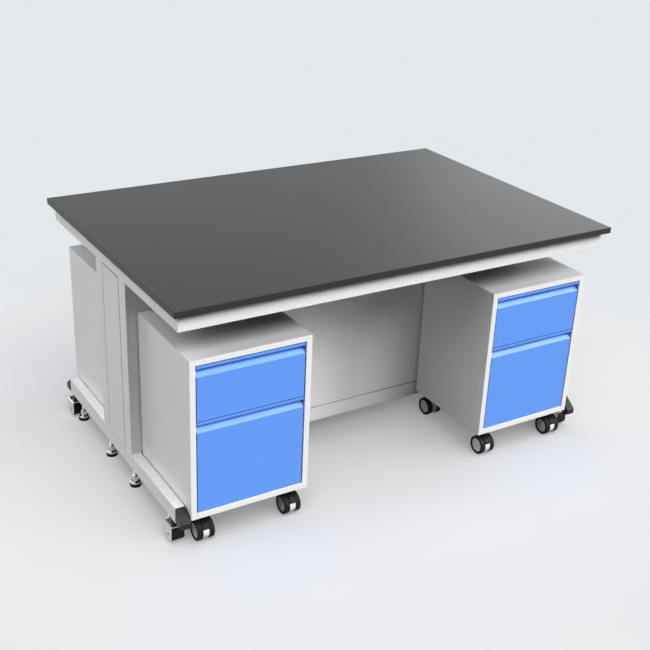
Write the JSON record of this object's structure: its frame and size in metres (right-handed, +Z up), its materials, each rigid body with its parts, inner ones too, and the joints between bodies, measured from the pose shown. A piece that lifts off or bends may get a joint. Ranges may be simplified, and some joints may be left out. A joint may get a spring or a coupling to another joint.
{
  "type": "lab island bench",
  "caption": "Free-standing two-sided lab bench: dark resin worktop on a white tube frame with levelling feet and castors, with mobile two-drawer pedestals under both long sides",
  "frame": {"origin": "on the floor under the middle of the worktop", "axes": "+X along the bench's length, +Y from the front side to the rear side, +Z up"},
  "size_m": [1.5, 1, 0.75],
  "materials": {
    "worktop_resin": "satin solid resin",
    "frame_paint": "fine-grained light grey powder coat on steel tube",
    "white_board": "white faced and edged board",
    "blue_front": "satin blue lacquer on board",
    "black_plastic": "moulded, matte",
    "bright_chrome": "bright plated steel",
    "plain_steel": "bright steel pin",
    "black_rubber": "matte rubber",
    "castor_moulding": "white moulding with a black hood"
  },
  "bodies": {
    "bench": {"worktop": "worktop_resin", "top_frame": "frame_paint", "end_frame_left": "frame_paint", "end_frame_right": "frame_paint", "end_infill_panels": "white_board", "centre_panels": "white_board", "lower_stretchers": "frame_paint", "foot_rail_caps": "black_plastic", "levelling_feet": "bright_chrome", "levelling_foot_pads": "black_rubber", "bench_castor_forks": "bright_chrome", "bench_castor_axles": "plain_steel"},
    "front_left_pedestal": {"front_left_carcass": "white_board"},
    "front_left_upper_drawer": {"front_left_upper_drawer": "blue_front"},
    "front_left_lower_drawer": {"front_left_lower_drawer": "blue_front"},
    "front_left_outer_front_castor_fork": {"front_left_outer_front_castor_fork": "castor_moulding"},
    "front_left_outer_front_castor_wheels": {"front_left_outer_front_castor_wheels": "black_rubber"},
    "front_left_outer_rear_castor_fork": {"front_left_outer_rear_castor_fork": "castor_moulding"},
    "front_left_outer_rear_castor_wheels": {"front_left_outer_rear_castor_wheels": "black_rubber"},
    "front_left_inner_front_castor_fork": {"front_left_inner_front_castor_fork": "castor_moulding"},
    "front_left_inner_front_castor_wheels": {"front_left_inner_front_castor_wheels": "black_rubber"},
    "front_left_inner_rear_castor_fork": {"front_left_inner_rear_castor_fork": "castor_moulding"},
    "front_left_inner_rear_castor_wheels": {"front_left_inner_rear_castor_wheels": "black_rubber"},
    "front_left_bench_wheel": {"front_left_bench_wheel": "black_rubber"},
    "front_right_pedestal": {"front_right_carcass": "white_board"},
    "front_right_upper_drawer": {"front_right_upper_drawer": "blue_front"},
    "front_right_lower_drawer": {"front_right_lower_drawer": "blue_front"},
    "front_right_outer_front_castor_fork": {"front_right_outer_front_castor_fork": "castor_moulding"},
    "front_right_outer_front_castor_wheels": {"front_right_outer_front_castor_wheels": "black_rubber"},
    "front_right_outer_rear_castor_fork": {"front_right_outer_rear_castor_fork": "castor_moulding"},
    "front_right_outer_rear_castor_wheels": {"front_right_outer_rear_castor_wheels": "black_rubber"},
    "front_right_inner_front_castor_fork": {"front_right_inner_front_castor_fork": "castor_moulding"},
    "front_right_inner_front_castor_wheels": {"front_right_inner_front_castor_wheels": "black_rubber"},
    "front_right_inner_rear_castor_fork": {"front_right_inner_rear_castor_fork": "castor_moulding"},
    "front_right_inner_rear_castor_wheels": {"front_right_inner_rear_castor_wheels": "black_rubber"},
    "front_right_bench_wheel": {"front_right_bench_wheel": "black_rubber"},
    "rear_left_pedestal": {"rear_left_carcass": "white_board"},
    "rear_left_upper_drawer": {"rear_left_upper_drawer": "blue_front"},
    "rear_left_lower_drawer": {"rear_left_lower_drawer": "blue_front"},
    "rear_left_outer_front_castor_fork": {"rear_left_outer_front_castor_fork": "castor_moulding"},
    "rear_left_outer_front_castor_wheels": {"rear_left_outer_front_castor_wheels": "black_rubber"},
    "rear_left_outer_rear_castor_fork": {"rear_left_outer_rear_castor_fork": "castor_moulding"},
    "rear_left_outer_rear_castor_wheels": {"rear_left_outer_rear_castor_wheels": "black_rubber"},
    "rear_left_inner_front_castor_fork": {"rear_left_inner_front_castor_fork": "castor_moulding"},
    "rear_left_inner_front_castor_wheels": {"rear_left_inner_front_castor_wheels": "black_rubber"},
    "rear_left_inner_rear_castor_fork": {"rear_left_inner_rear_castor_fork": "castor_moulding"},
    "rear_left_inner_rear_castor_wheels": {"rear_left_inner_rear_castor_wheels": "black_rubber"},
    "rear_left_bench_wheel": {"rear_left_bench_wheel": "black_rubber"},
    "rear_right_pedestal": {"rear_right_carcass": "white_board"},
    "rear_right_upper_drawer": {"rear_right_upper_drawer": "blue_front"},
    "rear_right_lower_drawer": {"rear_right_lower_drawer": "blue_front"},
    "rear_right_outer_front_castor_fork": {"rear_right_outer_front_castor_fork": "castor_moulding"},
    "rear_right_outer_front_castor_wheels": {"rear_right_outer_front_castor_wheels": "black_rubber"},
    "rear_right_outer_rear_castor_fork": {"rear_right_outer_rear_castor_fork": "castor_moulding"},
    "rear_right_outer_rear_castor_wheels": {"rear_right_outer_rear_castor_wheels": "black_rubber"},
    "rear_right_inner_front_castor_fork": {"rear_right_inner_front_castor_fork": "castor_moulding"},
    "rear_right_inner_front_castor_wheels": {"rear_right_inner_front_castor_wheels": "black_rubber"},
    "rear_right_inner_rear_castor_fork": {"rear_right_inner_rear_castor_fork": "castor_moulding"},
    "rear_right_inner_rear_castor_wheels": {"rear_right_inner_rear_castor_wheels": "black_rubber"},
    "rear_right_bench_wheel": {"rear_right_bench_wheel": "black_rubber"}
  },
  "joints": [
    {"name": "front_left_pedestal_roll", "type": "slide", "parent": "bench", "child": "front_left_pedestal", "axis": [0, -1, 0], "range_m": [0, 0.45]},
    {"name": "front_left_upper_drawer", "type": "slide", "parent": "front_left_pedestal", "child": "front_left_upper_drawer", "axis": [0, -1, 0], "range_m": [0, 0.25]},
    {"name": "front_left_lower_drawer", "type": "slide", "parent": "front_left_pedestal", "child": "front_left_lower_drawer", "axis": [0, -1, 0], "range_m": [0, 0.25]},
    {"name": "front_right_pedestal_roll", "type": "slide", "parent": "bench", "child": "front_right_pedestal", "axis": [0, -1, 0], "range_m": [0, 0.45]},
    {"name": "front_right_upper_drawer", "type": "slide", "parent": "front_right_pedestal", "child": "front_right_upper_drawer", "axis": [0, -1, 0], "range_m": [0, 0.25]},
    {"name": "front_right_lower_drawer", "type": "slide", "parent": "front_right_pedestal", "child": "front_right_lower_drawer", "axis": [0, -1, 0], "range_m": [0, 0.25]},
    {"name": "rear_left_pedestal_roll", "type": "slide", "parent": "bench", "child": "rear_left_pedestal", "axis": [0, 1, 0], "range_m": [0, 0.45]},
    {"name": "rear_left_upper_drawer", "type": "slide", "parent": "rear_left_pedestal", "child": "rear_left_upper_drawer", "axis": [0, 1, 0], "range_m": [0, 0.25]},
    {"name": "rear_left_lower_drawer", "type": "slide", "parent": "rear_left_pedestal", "child": "rear_left_lower_drawer", "axis": [0, 1, 0], "range_m": [0, 0.25]},
    {"name": "rear_right_pedestal_roll", "type": "slide", "parent": "bench", "child": "rear_right_pedestal", "axis": [0, 1, 0], "range_m": [0, 0.45]},
    {"name": "rear_right_upper_drawer", "type": "slide", "parent": "rear_right_pedestal", "child": "rear_right_upper_drawer", "axis": [0, 1, 0], "range_m": [0, 0.25]},
    {"name": "rear_right_lower_drawer", "type": "slide", "parent": "rear_right_pedestal", "child": "rear_right_lower_drawer", "axis": [0, 1, 0], "range_m": [0, 0.25]},
    {"name": "swivel_front_left_outer_front_castor", "type": "hinge", "parent": "front_left_pedestal", "child": "front_left_outer_front_castor_fork", "pos_m": [-0.651, -0.431, 0.087], "axis": [0, 0, 1], "continuous": true},
    {"name": "swivel_front_left_outer_rear_castor", "type": "hinge", "parent": "front_left_pedestal", "child": "front_left_outer_rear_castor_fork", "pos_m": [-0.651, -0.155, 0.087], "axis": [0, 0, 1], "continuous": true},
    {"name": "swivel_front_left_inner_front_castor", "type": "hinge", "parent": "front_left_pedestal", "child": "front_left_inner_front_castor_fork", "pos_m": [-0.369, -0.431, 0.087], "axis": [0, 0, 1], "continuous": true},
    {"name": "swivel_front_left_inner_rear_castor", "type": "hinge", "parent": "front_left_pedestal", "child": "front_left_inner_rear_castor_fork", "pos_m": [-0.369, -0.155, 0.087], "axis": [0, 0, 1], "continuous": true},
    {"name": "swivel_front_right_outer_front_castor", "type": "hinge", "parent": "front_right_pedestal", "child": "front_right_outer_front_castor_fork", "pos_m": [0.651, -0.431, 0.087], "axis": [0, 0, 1], "continuous": true},
    {"name": "swivel_front_right_outer_rear_castor", "type": "hinge", "parent": "front_right_pedestal", "child": "front_right_outer_rear_castor_fork", "pos_m": [0.651, -0.155, 0.087], "axis": [0, 0, 1], "continuous": true},
    {"name": "swivel_front_right_inner_front_castor", "type": "hinge", "parent": "front_right_pedestal", "child": "front_right_inner_front_castor_fork", "pos_m": [0.369, -0.431, 0.087], "axis": [0, 0, 1], "continuous": true},
    {"name": "swivel_front_right_inner_rear_castor", "type": "hinge", "parent": "front_right_pedestal", "child": "front_right_inner_rear_castor_fork", "pos_m": [0.369, -0.155, 0.087], "axis": [0, 0, 1], "continuous": true},
    {"name": "swivel_rear_left_outer_front_castor", "type": "hinge", "parent": "rear_left_pedestal", "child": "rear_left_outer_front_castor_fork", "pos_m": [-0.651, 0.155, 0.087], "axis": [0, 0, 1], "continuous": true},
    {"name": "swivel_rear_left_outer_rear_castor", "type": "hinge", "parent": "rear_left_pedestal", "child": "rear_left_outer_rear_castor_fork", "pos_m": [-0.651, 0.431, 0.087], "axis": [0, 0, 1], "continuous": true},
    {"name": "swivel_rear_left_inner_front_castor", "type": "hinge", "parent": "rear_left_pedestal", "child": "rear_left_inner_front_castor_fork", "pos_m": [-0.369, 0.155, 0.087], "axis": [0, 0, 1], "continuous": true},
    {"name": "swivel_rear_left_inner_rear_castor", "type": "hinge", "parent": "rear_left_pedestal", "child": "rear_left_inner_rear_castor_fork", "pos_m": [-0.369, 0.431, 0.087], "axis": [0, 0, 1], "continuous": true},
    {"name": "swivel_rear_right_outer_front_castor", "type": "hinge", "parent": "rear_right_pedestal", "child": "rear_right_outer_front_castor_fork", "pos_m": [0.651, 0.155, 0.087], "axis": [0, 0, 1], "continuous": true},
    {"name": "swivel_rear_right_outer_rear_castor", "type": "hinge", "parent": "rear_right_pedestal", "child": "rear_right_outer_rear_castor_fork", "pos_m": [0.651, 0.431, 0.087], "axis": [0, 0, 1], "continuous": true},
    {"name": "swivel_rear_right_inner_front_castor", "type": "hinge", "parent": "rear_right_pedestal", "child": "rear_right_inner_front_castor_fork", "pos_m": [0.369, 0.155, 0.087], "axis": [0, 0, 1], "continuous": true},
    {"name": "swivel_rear_right_inner_rear_castor", "type": "hinge", "parent": "rear_right_pedestal", "child": "rear_right_inner_rear_castor_fork", "pos_m": [0.369, 0.431, 0.087], "axis": [0, 0, 1], "continuous": true},
    {"name": "spin_front_left_outer_front_castor", "type": "hinge", "parent": "front_left_outer_front_castor_fork", "child": "front_left_outer_front_castor_wheels", "pos_m": [-0.651, -0.44, 0.031], "axis": [1, 0, 0], "continuous": true},
    {"name": "spin_front_left_outer_rear_castor", "type": "hinge", "parent": "front_left_outer_rear_castor_fork", "child": "front_left_outer_rear_castor_wheels", "pos_m": [-0.651, -0.146, 0.031], "axis": [1, 0, 0], "continuous": true},
    {"name": "spin_front_left_inner_front_castor", "type": "hinge", "parent": "front_left_inner_front_castor_fork", "child": "front_left_inner_front_castor_wheels", "pos_m": [-0.369, -0.44, 0.031], "axis": [1, 0, 0], "continuous": true},
    {"name": "spin_front_left_inner_rear_castor", "type": "hinge", "parent": "front_left_inner_rear_castor_fork", "child": "front_left_inner_rear_castor_wheels", "pos_m": [-0.369, -0.146, 0.031], "axis": [1, 0, 0], "continuous": true},
    {"name": "spin_front_left_bench_wheel", "type": "hinge", "parent": "bench", "child": "front_left_bench_wheel", "pos_m": [-0.723, -0.408, 0.025], "axis": [1, 0, 0], "continuous": true},
    {"name": "spin_front_right_outer_front_castor", "type": "hinge", "parent": "front_right_outer_front_castor_fork", "child": "front_right_outer_front_castor_wheels", "pos_m": [0.651, -0.44, 0.031], "axis": [1, 0, 0], "continuous": true},
    {"name": "spin_front_right_outer_rear_castor", "type": "hinge", "parent": "front_right_outer_rear_castor_fork", "child": "front_right_outer_rear_castor_wheels", "pos_m": [0.651, -0.146, 0.031], "axis": [1, 0, 0], "continuous": true},
    {"name": "spin_front_right_inner_front_castor", "type": "hinge", "parent": "front_right_inner_front_castor_fork", "child": "front_right_inner_front_castor_wheels", "pos_m": [0.369, -0.44, 0.031], "axis": [1, 0, 0], "continuous": true},
    {"name": "spin_front_right_inner_rear_castor", "type": "hinge", "parent": "front_right_inner_rear_castor_fork", "child": "front_right_inner_rear_castor_wheels", "pos_m": [0.369, -0.146, 0.031], "axis": [1, 0, 0], "continuous": true},
    {"name": "spin_front_right_bench_wheel", "type": "hinge", "parent": "bench", "child": "front_right_bench_wheel", "pos_m": [0.723, -0.408, 0.025], "axis": [1, 0, 0], "continuous": true},
    {"name": "spin_rear_left_outer_front_castor", "type": "hinge", "parent": "rear_left_outer_front_castor_fork", "child": "rear_left_outer_front_castor_wheels", "pos_m": [-0.651, 0.146, 0.031], "axis": [1, 0, 0], "continuous": true},
    {"name": "spin_rear_left_outer_rear_castor", "type": "hinge", "parent": "rear_left_outer_rear_castor_fork", "child": "rear_left_outer_rear_castor_wheels", "pos_m": [-0.651, 0.44, 0.031], "axis": [1, 0, 0], "continuous": true},
    {"name": "spin_rear_left_inner_front_castor", "type": "hinge", "parent": "rear_left_inner_front_castor_fork", "child": "rear_left_inner_front_castor_wheels", "pos_m": [-0.369, 0.146, 0.031], "axis": [1, 0, 0], "continuous": true},
    {"name": "spin_rear_left_inner_rear_castor", "type": "hinge", "parent": "rear_left_inner_rear_castor_fork", "child": "rear_left_inner_rear_castor_wheels", "pos_m": [-0.369, 0.44, 0.031], "axis": [1, 0, 0], "continuous": true},
    {"name": "spin_rear_left_bench_wheel", "type": "hinge", "parent": "bench", "child": "rear_left_bench_wheel", "pos_m": [-0.723, 0.408, 0.025], "axis": [1, 0, 0], "continuous": true},
    {"name": "spin_rear_right_outer_front_castor", "type": "hinge", "parent": "rear_right_outer_front_castor_fork", "child": "rear_right_outer_front_castor_wheels", "pos_m": [0.651, 0.146, 0.031], "axis": [1, 0, 0], "continuous": true},
    {"name": "spin_rear_right_outer_rear_castor", "type": "hinge", "parent": "rear_right_outer_rear_castor_fork", "child": "rear_right_outer_rear_castor_wheels", "pos_m": [0.651, 0.44, 0.031], "axis": [1, 0, 0], "continuous": true},
    {"name": "spin_rear_right_inner_front_castor", "type": "hinge", "parent": "rear_right_inner_front_castor_fork", "child": "rear_right_inner_front_castor_wheels", "pos_m": [0.369, 0.146, 0.031], "axis": [1, 0, 0], "continuous": true},
    {"name": "spin_rear_right_inner_rear_castor", "type": "hinge", "parent": "rear_right_inner_rear_castor_fork", "child": "rear_right_inner_rear_castor_wheels", "pos_m": [0.369, 0.44, 0.031], "axis": [1, 0, 0], "continuous": true},
    {"name": "spin_rear_right_bench_wheel", "type": "hinge", "parent": "bench", "child": "rear_right_bench_wheel", "pos_m": [0.723, 0.408, 0.025], "axis": [1, 0, 0], "continuous": true}
  ]
}
